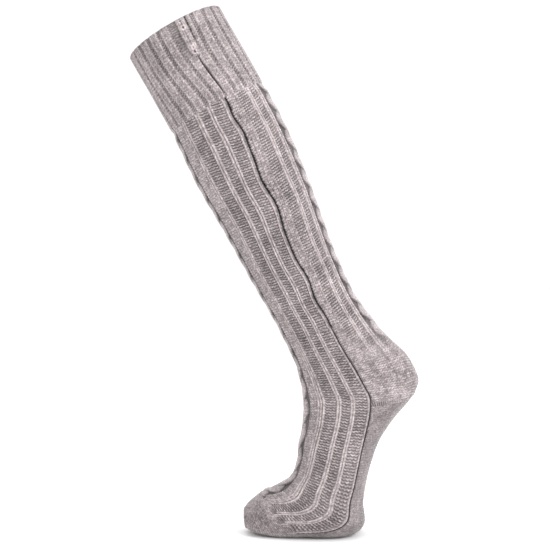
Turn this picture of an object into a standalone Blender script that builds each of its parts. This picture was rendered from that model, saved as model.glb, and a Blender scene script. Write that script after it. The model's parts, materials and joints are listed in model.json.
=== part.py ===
"""A knitted knee sock with the form of a leg on tiptoe in it: cuff, strip, leg, instep, heel, sole and toe.

Lengths are in metres. +Z is up, the toes point to -X and the slit in the cuff is on the -Y side.
The origin is the middle of the opening at the top of the cuff.
"""

import bisect
import math
from collections import namedtuple

import bmesh
import bpy
from mathutils import Vector

# Leg
CUFF_HEIGHT = 0.0835
SHANK_LENGTH = 0.231
LEG_DEPTH = 0.0975
LEG_WIDTH = 0.093
LEG_LEAN = math.radians(27.6)

# Foot, which stands on its toes with the sole nearly upright
ARCH_LENGTH = 0.150
FOOT_DEPTH = 0.107
FOOT_WIDTH = 0.088
BALL_HEIGHT = 0.0462
TOE_LENGTH = 0.1145

# Fabric
WALL = 0.0028
CUFF_WALL = 0.0050
KNIT_GAP = 0.0003
CUFF_RIB_DEPTH = 0.0018
LEG_RIB_DEPTH = 0.0011
CABLE_HEIGHT = 0.0016
CABLE_PITCH = 0.021
RIB_COUNT = 24
SIDE_SEAM_DEPTH = 0.0016

# Strip and slit on the outer side of the cuff. The slit runs from the strip's end to near the lower edge.
STRIP_LENGTH = 0.041
STRIP_THICKNESS = 0.0016
SLIT_TO_EDGE = 0.0045
SLIT_TURN = 0.29

# Cells of the meshes
CELLS_PER_CUFF_RIB = 4
CELLS_PER_LEG_RIB = 2
RIM_CELLS = 3
LINING_ROWS_PER_CROSSING = 1
HEEL_ROWS = 6
SOLE_ROWS = 10
TOE_ROWS = 5
STRIP_COLUMNS = 3

# Sections of the cuff and leg. Across is a share of LEG_DEPTH from the leg's axis, width is a share of
# LEG_WIDTH. Down is a share of CUFF_HEIGHT for the rim, and of SHANK_LENGTH below the cuff for the rest.
# Widest is where the section is widest, and seam is where the side seam lies, as shares of its depth from
# the front. Round is 1 for an ellipse and less for a squarer section.
LegSection = namedtuple("LegSection", "front_down front_across back_down back_across width widest round seam")
RIM = LegSection(0.022, 0.500, -0.022, 0.500, 1.00, 0.50, 1.0, 0.62)
LEG_SECTIONS = (
    LegSection(0.006, 0.471, -0.005, 0.532, 1.01, 0.50, 1.0, 0.60),
    LegSection(0.233, 0.489, 0.226, 0.531, 1.01, 0.52, 1.0, 0.585),
    LegSection(0.471, 0.465, 0.474, 0.476, 0.94, 0.53, 1.0, 0.57),
    LegSection(0.706, 0.449, 0.716, 0.396, 0.85, 0.52, 1.0, 0.558),
    LegSection(0.896, 0.431, 0.915, 0.370, 0.77, 0.50, 1.0, 0.555),
    LegSection(0.988, 0.435, 1.013, 0.393, 0.75, 0.49, 1.0, 0.545),
)

# Sections from the ankle to the ball of the foot. Forward and back are shares of FOOT_DEPTH from the ankle,
# down is a share of ARCH_LENGTH and width is a share of FOOT_WIDTH. At the seam the instep ends.
FootSection = namedtuple(
    "FootSection", "front_forward front_down back_back back_down width widest round seam"
)
FOOT_SECTIONS = (
    FootSection(0.284, 0.241, 0.497, 0.045, 0.79, 0.48, 1.00, 0.52),
    FootSection(0.239, 0.349, 0.693, 0.177, 0.78, 0.47, 0.98, 0.50),
    FootSection(0.221, 0.431, 0.795, 0.317, 0.76, 0.47, 0.96, 0.525),
    FootSection(0.213, 0.469, 0.781, 0.399, 0.75, 0.47, 0.95, 0.57),
    FootSection(0.213, 0.519, 0.720, 0.469, 0.75, 0.48, 0.94, 0.615),
    FootSection(0.221, 0.621, 0.568, 0.595, 0.77, 0.51, 0.93, 0.71),
    FootSection(0.249, 0.722, 0.453, 0.722, 0.82, 0.54, 0.92, 0.78),
    FootSection(0.266, 0.823, 0.382, 0.855, 0.89, 0.57, 0.90, 0.81),
    FootSection(0.293, 0.912, 0.337, 0.975, 0.96, 0.58, 0.88, 0.82),
    FootSection(0.337, 0.957, 0.311, 1.102, 1.00, 0.58, 0.87, 0.80),
    FootSection(0.417, 1.001, 0.316, 1.248, 1.00, 0.57, 0.87, 0.775),
)

# Sections from the ball to the tip of the toes. Forward is a share of the way from the ball's front or back
# to the tip, up is a share of BALL_HEIGHT from the ground and width is a share of FOOT_WIDTH.
ToeSection = namedtuple("ToeSection", "front_forward front_up back_forward back_up width widest round seam")
TOE_SECTIONS = (
    ToeSection(0.263, 0.916, 0.154, -0.030, 0.97, 0.56, 0.87, 0.775),
    ToeSection(0.449, 0.853, 0.494, -0.050, 0.89, 0.55, 0.86, 0.80),
    ToeSection(0.659, 0.729, 0.710, -0.050, 0.75, 0.54, 0.86, 0.81),
    ToeSection(0.842, 0.610, 0.884, 0.005, 0.57, 0.52, 0.88, 0.81),
    ToeSection(0.947, 0.513, 0.971, 0.112, 0.36, 0.50, 0.92, 0.80),
)

# Places along the sock, counted in sections from the rim
CUFF_END = 1
LEG_END = len(LEG_SECTIONS)
HEEL_END = LEG_END + 5
BALL = LEG_END + len(FOOT_SECTIONS)
TOE_START = BALL + 2
TOE_END = BALL + len(TOE_SECTIONS)

# Colours and finish
Finish = namedtuple("Finish", "colour roughness metallic")
RIB_KNIT = Finish((0.39, 0.34, 0.34, 1.0), 0.95, 0.0)
CABLE_KNIT = Finish((0.38, 0.33, 0.33, 1.0), 0.95, 0.0)
PLAIN_KNIT = Finish((0.36, 0.31, 0.31, 1.0), 0.95, 0.0)

# Directions and places that follow from the sizes
SLIT_RIB = round(SLIT_TURN * RIB_COUNT)
LEG_DOWN = Vector((math.sin(LEG_LEAN), 0.0, -math.cos(LEG_LEAN)))
LEG_BACK = Vector((math.cos(LEG_LEAN), 0.0, math.sin(LEG_LEAN)))
ANKLE = LEG_DOWN * (CUFF_HEIGHT + SHANK_LENGTH)
GROUND = ANKLE.z - ARCH_LENGTH - BALL_HEIGHT
STEP = 0.001

# A section resolved to points: its front and back in the side view, full width, widest, round and seam
Ring = namedtuple("Ring", "front back width widest round seam")


def leg_ring(section, start, length):
    """Ring of a cuff or leg section whose down values are shares of length, measured from start."""
    front = LEG_DOWN * (start + section.front_down * length) - LEG_BACK * (section.front_across * LEG_DEPTH)
    back = LEG_DOWN * (start + section.back_down * length) + LEG_BACK * (section.back_across * LEG_DEPTH)
    return Ring(front, back, section.width * LEG_WIDTH, section.widest, section.round, section.seam)


def foot_ring(section):
    """Ring of a section between the ankle and the ball of the foot."""
    front = ANKLE + Vector((-section.front_forward * FOOT_DEPTH, 0.0, -section.front_down * ARCH_LENGTH))
    back = ANKLE + Vector((section.back_back * FOOT_DEPTH, 0.0, -section.back_down * ARCH_LENGTH))
    return Ring(front, back, section.width * FOOT_WIDTH, section.widest, section.round, section.seam)


def toe_ring(section, ball):
    """Ring of a section between the ball of the foot and the tip of the toes."""
    tip = ball.back.x - TOE_LENGTH
    front_x = ball.front.x + (tip - ball.front.x) * section.front_forward
    back_x = ball.back.x + (tip - ball.back.x) * section.back_forward
    front = Vector((front_x, 0.0, GROUND + section.front_up * BALL_HEIGHT))
    back = Vector((back_x, 0.0, GROUND + section.back_up * BALL_HEIGHT))
    return Ring(front, back, section.width * FOOT_WIDTH, section.widest, section.round, section.seam)


def all_rings():
    """Every ring from the rim to the toes, in order."""
    rings = [leg_ring(RIM, 0.0, CUFF_HEIGHT)]
    rings += [leg_ring(section, CUFF_HEIGHT, SHANK_LENGTH) for section in LEG_SECTIONS]
    rings += [foot_ring(section) for section in FOOT_SECTIONS]
    ball = rings[-1]
    rings += [toe_ring(section, ball) for section in TOE_SECTIONS]
    return rings


RINGS = all_rings()


def smooth(before, start, end, after, t):
    """Value between start and end on a smooth curve through all four."""
    slope_in = (end - before) * 0.5
    slope_out = (after - start) * 0.5
    t2 = t * t
    t3 = t2 * t
    return (
        start * (2 * t3 - 3 * t2 + 1)
        + slope_in * (t3 - 2 * t2 + t)
        + end * (3 * t2 - 2 * t3)
        + slope_out * (t3 - t2)
    )


def ring_at(v):
    """Ring at place v along the sock, smooth between the sections."""
    index = min(max(int(math.floor(v)), 0), len(RINGS) - 2)
    near = [RINGS[min(max(index + k, 0), len(RINGS) - 1)] for k in (-1, 0, 1, 2)]
    return Ring(*(smooth(*column, v - index) for column in zip(*near)))


def signed_power(value, power):
    """Power of the value's size, with its sign kept."""
    return math.copysign(abs(value) ** power, value)


def depth_share(ring, turn):
    """Share of the section's depth from the front, at a turn round it from 0 to 1."""
    share = 0.5 - 0.5 * signed_power(math.cos(math.tau * turn), ring.round)
    return share + 4.0 * (ring.widest - 0.5) * share * (1.0 - share)


def base_point(u, v):
    """Point of the smooth outer surface: u goes round from the front by the -Y side, v along the sock."""
    ring = ring_at(v)
    point = ring.front.lerp(ring.back, depth_share(ring, u))
    point.y = -0.5 * ring.width * signed_power(math.sin(math.tau * u), ring.round)
    return point


def slope_round(u, v):
    """Change of the surface point for each unit of u."""
    return (base_point(u + STEP, v) - base_point(u - STEP, v)) / (2 * STEP)


def slope_along(u, v):
    """Change of the surface point for each unit of v."""
    return (base_point(u, v + STEP) - base_point(u, v - STEP)) / (2 * STEP)


def fabric_point(u, v, height):
    """Point at a height over the smooth surface, never below the ground or the fabric that lies on it."""
    outward = slope_along(u, v).cross(slope_round(u, v)).normalized()
    point = base_point(u, v) + outward * height
    point.z = max(point.z, GROUND + max(0.0, -height))
    return point


def seam_turn(v):
    """Turn from the front of the side seam, at which the instep ends."""
    ring = ring_at(v)
    low = 0.0
    high = 0.5
    while high - low > 1e-6:
        middle = 0.5 * (low + high)
        if depth_share(ring, middle) < ring.seam:
            low = middle
        else:
            high = middle
    return low


def cuff_rib(u):
    """Height of the cuff's ribs, with the middle of a valley at the slit."""
    from_slit = u * RIB_COUNT - SLIT_RIB + 0.5 / CELLS_PER_CUFF_RIB
    return -CUFF_RIB_DEPTH * (0.5 + 0.5 * signed_power(math.cos(math.tau * from_slit), 0.5))


def cable_height(row):
    """Height of a cable at a row of the mesh, high where its strands cross at every second row."""
    return CABLE_HEIGHT * (0.5 if row % 2 else -0.5)


def leg_height(column, row, v):
    """Height of the leg's ribs, cables and side seam at a corner of the mesh, which lies at place v."""
    columns = RIB_COUNT * CELLS_PER_LEG_RIB
    from_cable = min(column % (columns // 2), -column % (columns // 2))
    if from_cable <= 1:
        return cable_height(row)
    groove = SIDE_SEAM_DEPTH * max(0.0, 1.0 - abs(column - seam_turn(v) * columns))
    rib = -LEG_RIB_DEPTH if column % CELLS_PER_LEG_RIB else 0.0
    return rib - groove


def grid_of(bm, columns, rows, place):
    """Grid of faces whose corners place(column, row) puts on the surface. Returns corners by place."""
    made = bmesh.ops.create_grid(bm, x_segments=columns, y_segments=rows, size=0.5)
    corners = {}
    for vert in made["verts"]:
        column = round((vert.co.x + 0.5) * columns)
        row = round((vert.co.y + 0.5) * rows)
        vert.co = place(column, row)
        corners[column, row] = vert
    return corners


def closed_round(bm, corners, columns, rows):
    """Joins the last column to the first, so that the grid goes right round."""
    targets = {corners[columns, row]: corners[0, row] for row in range(rows + 1)}
    bmesh.ops.weld_verts(bm, targetmap=targets)


def join_edges(bm, outer, inner):
    """Faces between two lines of corners, which may be closed by repeating the first corner."""
    for k in range(len(outer) - 1):
        bm.faces.new((outer[k], outer[k + 1], inner[k + 1], inner[k]))


def finish_object(bm, name, finish):
    """Object of this name from the mesh, with its faces outward and a material of its own."""
    bmesh.ops.recalc_face_normals(bm, faces=bm.faces)
    mesh = bpy.data.meshes.new(name)
    bm.to_mesh(mesh)
    bm.free()
    mesh.shade_smooth()
    mesh.set_sharp_from_angle(angle=math.radians(50))
    material = bpy.data.materials.new(name)
    material.use_nodes = True
    shader = material.node_tree.nodes["Principled BSDF"]
    shader.inputs["Base Color"].default_value = finish.colour
    shader.inputs["Roughness"].default_value = finish.roughness
    shader.inputs["Metallic"].default_value = finish.metallic
    mesh.materials.append(material)
    made = bpy.data.objects.new(name, mesh)
    bpy.context.scene.collection.objects.link(made)
    return made


def tube(name, finish, columns, outer_rows, inner_rows, outer_place, inner_place):
    """Knitted tube: an outer and an inner grid right round, joined at both ends."""
    bm = bmesh.new()
    outer = grid_of(bm, columns, outer_rows, outer_place)
    inner = grid_of(bm, columns, inner_rows, inner_place)
    closed_round(bm, outer, columns, outer_rows)
    closed_round(bm, inner, columns, inner_rows)
    for outer_row, inner_row in ((0, 0), (outer_rows, inner_rows)):
        around = [k % columns for k in range(columns + 1)]
        join_edges(bm, [outer[k, outer_row] for k in around], [inner[k, inner_row] for k in around])
    return finish_object(bm, name, finish)


def patch(name, finish, columns, rows, place):
    """Knitted panel: an outer and an inner grid of equal cells, joined all round. Place takes a depth too."""
    bm = bmesh.new()
    outer = grid_of(bm, columns, rows, lambda column, row: place(column, row, False))
    inner = grid_of(bm, columns, rows, lambda column, row: place(column, row, True))
    border = [(k, 0) for k in range(columns)] + [(columns, k) for k in range(rows)]
    border += [(columns - k, rows) for k in range(columns)] + [(0, rows - k) for k in range(rows + 1)]
    join_edges(bm, [outer[key] for key in border], [inner[key] for key in border])
    return finish_object(bm, name, finish)


def inset_along(u, v, distance):
    """Place along the sock that lies this distance from v, measured on the surface at u."""
    return v + distance / slope_along(u, v).length


# Rows of the cuff's profile: the slit's lower and upper end outside, and where the rim begins
SLIT_BOTTOM_ROW = 1
SLIT_TOP_ROW = 3
RIM_ROW = 5


def cuff_profile():
    """Profile of the welt, from the outer lower edge over the rim to the inner lower edge, as pairs of
    distance below the rim and height over the outer surface."""
    radius = 0.5 * CUFF_WALL
    lower = CUFF_HEIGHT - 0.5 * KNIT_GAP
    slit_end = CUFF_HEIGHT - SLIT_TO_EDGE
    outer = [lower, slit_end, 0.5 * (STRIP_LENGTH + slit_end), STRIP_LENGTH, 0.5 * STRIP_LENGTH]
    inner = [STRIP_LENGTH, slit_end, lower]
    profile = [(distance, 0.0) for distance in outer]
    for k in range(RIM_CELLS + 1):
        angle = math.pi * k / RIM_CELLS
        profile.append((radius - radius * math.sin(angle), -radius + radius * math.cos(angle)))
    profile += [(distance, -CUFF_WALL) for distance in inner]
    return profile


def cuff_point(column, distance, height, columns):
    """Point of the cuff at a column, a distance below the rim and a height over the smooth surface. The ribs
    fade out towards the inner face."""
    u = column / columns
    rib = cuff_rib(u) * (1.0 + 0.5 * height / CUFF_WALL)
    return fabric_point(u, distance / CUFF_HEIGHT, height + rib)


def slit_columns():
    """First and last column of the slit on the cuff."""
    last = SLIT_RIB * CELLS_PER_CUFF_RIB
    return last - 1, last


def make_cuff():
    """Ribbed welt, closed over the rim, with the slit cut through its outer side."""
    columns = RIB_COUNT * CELLS_PER_CUFF_RIB
    profile = cuff_profile()
    rows = len(profile)
    bm = bmesh.new()
    corners = grid_of(
        bm, columns, rows, lambda column, row: cuff_point(column, *profile[row % rows], columns)
    )
    closed_round(bm, corners, columns, rows)
    ends = {corners[column, rows]: corners[column, 0] for column in range(columns)}
    bmesh.ops.weld_verts(bm, targetmap=ends)
    outer_rows = range(SLIT_BOTTOM_ROW, SLIT_TOP_ROW + 1)
    inner_rows = (rows - 3, rows - 2)
    cut = []
    for slit_rows in (outer_rows, inner_rows):
        edge = {corners[column, row] for column in slit_columns() for row in slit_rows}
        cut += [face for face in bm.faces if edge.issuperset(face.verts)]
    bmesh.ops.delete(bm, geom=cut, context="FACES")
    bmesh.ops.bridge_loops(bm, edges=[edge for edge in bm.edges if edge.is_boundary])
    return finish_object(bm, "cuff", RIB_KNIT)


def make_strip():
    """Narrow strip over one valley of the cuff, from the rim to the top of the slit."""
    columns = RIB_COUNT * CELLS_PER_CUFF_RIB
    first = slit_columns()[0] - (STRIP_COLUMNS - 1) // 2
    distances = [distance for distance, _ in cuff_profile()[SLIT_TOP_ROW : RIM_ROW + 1]]

    def place(column, row, inside):
        if inside:
            return cuff_point(first + column, distances[row], KNIT_GAP, columns)
        height = KNIT_GAP + STRIP_THICKNESS
        return fabric_point((first + column) / columns, distances[row] / CUFF_HEIGHT, height)

    return patch("cuff_strip", RIB_KNIT, STRIP_COLUMNS, len(distances) - 1, place)


def length_along(u, start, end):
    """Length of the surface along the sock at u, between two places."""
    steps = 40
    points = [base_point(u, start + (end - start) * k / steps) for k in range(steps + 1)]
    return sum((b - a).length for a, b in zip(points, points[1:]))


def make_leg():
    """Ribbed tube from the cuff to the ankle, with a cable in front and one at the back."""
    columns = RIB_COUNT * CELLS_PER_LEG_RIB
    crossings = round(length_along(0.25, CUFF_END, LEG_END) / CABLE_PITCH)
    outer_rows = 2 * crossings
    inner_rows = LINING_ROWS_PER_CROSSING * crossings

    def along(u, share):
        top = inset_along(u, CUFF_END, 0.5 * KNIT_GAP)
        bottom = inset_along(u, LEG_END, -0.5 * KNIT_GAP)
        return top + (bottom - top) * share

    def outside(column, row):
        u = column / columns
        v = along(u, row / outer_rows)
        return fabric_point(u, v, leg_height(column, row, v))

    def inside(column, row):
        u = column / columns
        return fabric_point(u, along(u, row / inner_rows), -WALL)

    return tube("leg", CABLE_KNIT, columns, outer_rows, inner_rows, outside, inside)


def even_places(start, end, rows):
    """Places along the sock from start to end, spaced evenly on the back of the heel and sole."""
    steps = 40 * rows
    places = [start + (end - start) * k / steps for k in range(steps + 1)]
    points = [base_point(0.5, v) for v in places]
    lengths = [0.0]
    for a, b in zip(points, points[1:]):
        lengths.append(lengths[-1] + (b - a).length)
    chosen = [start]
    for row in range(1, rows):
        wanted = lengths[-1] * row / rows
        chosen.append(places[bisect.bisect_left(lengths, wanted)])
    return chosen + [end]


def panel_place(columns, places, turn_from, turn_to, relief):
    """Place function of a panel with a row at each of the places, between two turns that are functions of v."""
    rows = len(places) - 1

    def place(column, row, inside):
        v = places[row]
        margin = 0.5 * KNIT_GAP / slope_round(turn_from(v), v).length
        low = turn_from(v) + margin
        high = turn_to(v) - margin
        u = low + (high - low) * column / columns
        if row == 0:
            v = inset_along(u, v, 0.5 * KNIT_GAP)
        elif row == rows:
            v = inset_along(u, v, -0.5 * KNIT_GAP)
        return fabric_point(u, v, -WALL if inside else relief(column, row))

    return place


HEEL_PLACES = even_places(LEG_END, HEEL_END, HEEL_ROWS)
SOLE_PLACES = even_places(HEEL_END, TOE_START, SOLE_ROWS)


def make_instep():
    """Ribbed front of the foot with its cable, from the ankle to the toes."""
    columns = RIB_COUNT
    places = HEEL_PLACES + SOLE_PLACES[1:]

    def relief(column, row):
        from_cable = abs(column - columns // 2)
        if from_cable <= 1:
            return cable_height(row)
        if column in (0, columns):
            return 0.0
        return -LEG_RIB_DEPTH if column % CELLS_PER_LEG_RIB else 0.0

    place = panel_place(columns, places, lambda v: -seam_turn(v), seam_turn, relief)
    return patch("instep", CABLE_KNIT, columns, len(places) - 1, place)


def make_back_panel(name, places):
    """Plain panel behind the seams: the heel or the sole."""
    columns = RIB_COUNT
    place = panel_place(columns, places, seam_turn, lambda v: 1.0 - seam_turn(v), lambda column, row: 0.0)
    return patch(name, PLAIN_KNIT, columns, len(places) - 1, place)


def make_toe():
    """Plain toe cap, closed at its tip inside and out."""
    columns = RIB_COUNT * CELLS_PER_LEG_RIB
    bm = bmesh.new()

    def place(column, row, inside):
        u = column / columns
        v = TOE_START + (TOE_END - TOE_START) * row / TOE_ROWS
        if row == 0:
            v = inset_along(u, TOE_START, 0.5 * KNIT_GAP)
        return fabric_point(u, v, -WALL if inside else 0.0)

    outer = grid_of(bm, columns, TOE_ROWS, lambda column, row: place(column, row, False))
    inner = grid_of(bm, columns, TOE_ROWS, lambda column, row: place(column, row, True))
    closed_round(bm, outer, columns, TOE_ROWS)
    closed_round(bm, inner, columns, TOE_ROWS)
    around = [k % columns for k in range(columns + 1)]
    join_edges(bm, [outer[k, 0] for k in around], [inner[k, 0] for k in around])
    bmesh.ops.holes_fill(bm, edges=[edge for edge in bm.edges if edge.is_boundary])
    return finish_object(bm, "toe", PLAIN_KNIT)


def main():
    """Clears the scene and makes the sock, piece by piece."""
    for old in list(bpy.data.objects):
        bpy.data.objects.remove(old, do_unlink=True)
    make_cuff()
    make_strip()
    make_leg()
    make_instep()
    make_back_panel("heel", HEEL_PLACES)
    make_back_panel("sole", SOLE_PLACES)
    make_toe()


main()
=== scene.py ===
"""Looks of the knitted knee sock: stitches, ribs and cables as modelled surface with painted shade and
highlights, heathered wool, soft studio.

Lengths are in metres in the row's frame: +Z up, toes towards -X, the side with the slit towards -Y.
A place on the sock is a turn round it, 0 in front and 0.5 at the back by the -Y side, and a number of
sections along it, from 0 at the rim.
"""

import json
import logging
import math
from dataclasses import dataclass, field
from enum import Enum
from typing import Any, Iterable, NamedTuple, Sequence
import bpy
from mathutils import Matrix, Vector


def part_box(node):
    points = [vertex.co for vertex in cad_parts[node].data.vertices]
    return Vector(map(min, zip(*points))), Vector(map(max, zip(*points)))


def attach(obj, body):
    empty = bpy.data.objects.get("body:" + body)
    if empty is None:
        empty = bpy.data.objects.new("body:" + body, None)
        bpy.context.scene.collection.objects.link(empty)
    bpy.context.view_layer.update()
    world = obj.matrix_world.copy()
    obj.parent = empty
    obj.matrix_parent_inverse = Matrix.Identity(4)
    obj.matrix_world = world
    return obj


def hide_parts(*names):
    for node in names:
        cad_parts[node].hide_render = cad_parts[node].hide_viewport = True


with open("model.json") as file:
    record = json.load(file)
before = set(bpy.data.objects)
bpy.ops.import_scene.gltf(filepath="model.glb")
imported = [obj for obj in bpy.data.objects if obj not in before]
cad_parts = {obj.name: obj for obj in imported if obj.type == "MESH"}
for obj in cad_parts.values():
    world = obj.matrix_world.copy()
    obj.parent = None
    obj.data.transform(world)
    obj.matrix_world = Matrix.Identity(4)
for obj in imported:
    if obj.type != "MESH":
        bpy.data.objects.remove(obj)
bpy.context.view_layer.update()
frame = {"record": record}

import bmesh
import bpy
import numpy as np
from mathutils import Vector

LOG = logging.getLogger("sock")
MM = 0.001
BODY = "root"
LINING_TONE = 0.4
TAU = math.tau
COARSE = 4


class Stitch(Enum):
    """Kinds of knitted column."""

    PLAIN = "plain"
    RIB = "rib"
    LADDER = "ladder"
    VALLEY = "valley"
    CABLE = "cable"


class Column(NamedTuple):
    """A column of stitches: where it ends, as a share of the way from the centre line to the side seam."""

    stitch: Stitch
    end: float
    wales: int


@dataclass(frozen=True)
class Sizes:
    """Driving sizes of the sock, with what the frame already knows taken from it."""

    cuff_height: float = 0.0835
    shank_length: float = 0.231
    leg_depth: float = 0.0975
    leg_width: float = 0.093
    arch_length: float = 0.150
    foot_depth: float = 0.107
    foot_width: float = 0.088
    ball_height: float = 0.0462
    toe_length: float = 0.1145
    wall: float = 2.8 * MM
    cuff_wall: float = 5.0 * MM
    rib_count: int = 24
    strip_length: float = 0.041
    slit_to_edge: float = 0.0045
    slit_turn: float = 6.875 / 24
    girth: float = 0.299
    course: float = 2.55 * MM
    cable_pitch: float = 0.0205
    ground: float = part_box("sole")[0][2]


# Sections as in the solids. Cuff and leg: front down, front across, back down, back across, width, widest,
# round, seam. Across is a share of the leg's depth, down is a share of the cuff's height for the rim and of
# the shank's length below the cuff for the rest, width is a share of the leg's width.
RIM = (0.022, 0.500, -0.022, 0.500, 1.00, 0.50, 1.0, 0.62)
LEG_SECTIONS = (
    (0.006, 0.471, -0.005, 0.532, 1.01, 0.50, 1.0, 0.60),
    (0.233, 0.489, 0.226, 0.531, 1.01, 0.52, 1.0, 0.585),
    (0.471, 0.465, 0.474, 0.476, 0.94, 0.53, 1.0, 0.57),
    (0.706, 0.449, 0.716, 0.396, 0.85, 0.52, 1.0, 0.558),
    (0.896, 0.431, 0.915, 0.370, 0.77, 0.50, 1.0, 0.555),
    (0.988, 0.435, 1.013, 0.393, 0.75, 0.49, 1.0, 0.545),
)
# Ankle to ball: front forward and back back as shares of the foot's depth, downs as shares of the arch's
# length, width as a share of the foot's width.
FOOT_SECTIONS = (
    (0.284, 0.241, 0.497, 0.045, 0.79, 0.48, 1.00, 0.52),
    (0.239, 0.349, 0.693, 0.177, 0.78, 0.47, 0.98, 0.50),
    (0.221, 0.431, 0.795, 0.317, 0.76, 0.47, 0.96, 0.525),
    (0.213, 0.469, 0.781, 0.399, 0.75, 0.47, 0.95, 0.57),
    (0.213, 0.519, 0.720, 0.469, 0.75, 0.48, 0.94, 0.615),
    (0.221, 0.621, 0.568, 0.595, 0.77, 0.51, 0.93, 0.71),
    (0.249, 0.722, 0.453, 0.722, 0.82, 0.54, 0.92, 0.78),
    (0.266, 0.823, 0.382, 0.855, 0.89, 0.57, 0.90, 0.81),
    (0.293, 0.912, 0.337, 0.975, 0.96, 0.58, 0.88, 0.82),
    (0.337, 0.957, 0.311, 1.102, 1.00, 0.58, 0.87, 0.80),
    (0.417, 1.001, 0.316, 1.248, 1.00, 0.57, 0.87, 0.775),
)
# Ball to tip: forwards as shares of the way from the ball to the tip, ups as shares of the ball's height.
TOE_SECTIONS = (
    (0.263, 0.916, 0.154, -0.030, 0.97, 0.56, 0.87, 0.775),
    (0.449, 0.853, 0.494, -0.050, 0.89, 0.55, 0.86, 0.80),
    (0.659, 0.729, 0.710, -0.050, 0.75, 0.54, 0.86, 0.81),
    (0.842, 0.610, 0.884, 0.005, 0.57, 0.52, 0.88, 0.81),
    (0.947, 0.513, 0.971, 0.112, 0.36, 0.50, 0.92, 0.80),
)
CUFF_END = 1.0
LEG_END = float(len(LEG_SECTIONS))
HEEL_END = LEG_END + 5.0
BALL = LEG_END + len(FOOT_SECTIONS)
TOE_START = BALL + 2.0
TOE_END = BALL + len(TOE_SECTIONS)

# Columns of stitches from the front centre line, and from the back centre line, out to the side seam
FRONT_CHART = (
    Column(Stitch.CABLE, 0.175, 6),
    Column(Stitch.VALLEY, 0.205, 1),
    Column(Stitch.PLAIN, 0.390, 5),
    Column(Stitch.RIB, 0.450, 2),
    Column(Stitch.LADDER, 0.595, 3),
    Column(Stitch.RIB, 0.665, 2),
    Column(Stitch.LADDER, 0.760, 2),
    Column(Stitch.RIB, 0.825, 2),
    Column(Stitch.LADDER, 0.945, 3),
    Column(Stitch.RIB, 1.000, 2),
)
INSTEP_CHART = (
    Column(Stitch.CABLE, 0.195, 6),
    Column(Stitch.VALLEY, 0.230, 1),
    Column(Stitch.PLAIN, 0.345, 3),
    Column(Stitch.RIB, 0.450, 3),
    Column(Stitch.LADDER, 0.590, 3),
    Column(Stitch.RIB, 0.655, 2),
    Column(Stitch.LADDER, 0.755, 2),
    Column(Stitch.RIB, 0.815, 2),
    Column(Stitch.LADDER, 0.955, 3),
    Column(Stitch.RIB, 1.000, 1),
)
BACK_CHART = (
    Column(Stitch.CABLE, 0.320, 6),
    Column(Stitch.VALLEY, 0.370, 1),
    Column(Stitch.RIB, 0.480, 2),
    Column(Stitch.LADDER, 0.590, 2),
    Column(Stitch.RIB, 0.670, 2),
    Column(Stitch.LADDER, 0.820, 3),
    Column(Stitch.PLAIN, 1.000, 4),
)


def signed_power(value: np.ndarray, power: np.ndarray) -> np.ndarray:
    """Power of each value's size, with its sign kept."""
    return np.sign(value) * np.abs(value) ** power


def bump(phase: np.ndarray) -> np.ndarray:
    """Wave from 0 to 1 with its crest at whole numbers."""
    return 0.5 + 0.5 * np.cos(TAU * phase)


def dome(across: np.ndarray) -> np.ndarray:
    """Half-round profile over -1 to 1, and 0 outside."""
    return np.sqrt(np.clip(1.0 - across**2, 0.0, 1.0))


def ease(value: np.ndarray, start: float, end: float) -> np.ndarray:
    """Smooth step from 0 at start to 1 at end."""
    t = np.clip((value - start) / (end - start), 0.0, 1.0)
    return t * t * (3.0 - 2.0 * t)


def soft_noise(rows: int, columns: int, cell: tuple[int, int], seed: int) -> np.ndarray:
    """Smooth uneven field between about -1 and 1.

    Args:
        rows: Rows of the field.
        columns: Columns of the field.
        cell: Rows and columns between neighbouring knots.
        seed: Seed of the knots.

    Returns:
        Array of rows by columns.
    """
    rng = np.random.default_rng(seed)
    knots = rng.uniform(-1.0, 1.0, (rows // cell[0] + 3, columns // cell[1] + 3))
    at_rows = np.arange(rows) / cell[0]
    at_columns = np.arange(columns) / cell[1]
    row_knot = at_rows.astype(int)
    column_knot = at_columns.astype(int)
    down = ease(at_rows - row_knot, 0.0, 1.0)[:, None]
    over = ease(at_columns - column_knot, 0.0, 1.0)[None, :]
    rows_of = knots[row_knot] * (1.0 - down) + knots[row_knot + 1] * down
    return rows_of[:, column_knot] * (1.0 - over) + rows_of[:, column_knot + 1] * over


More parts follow.
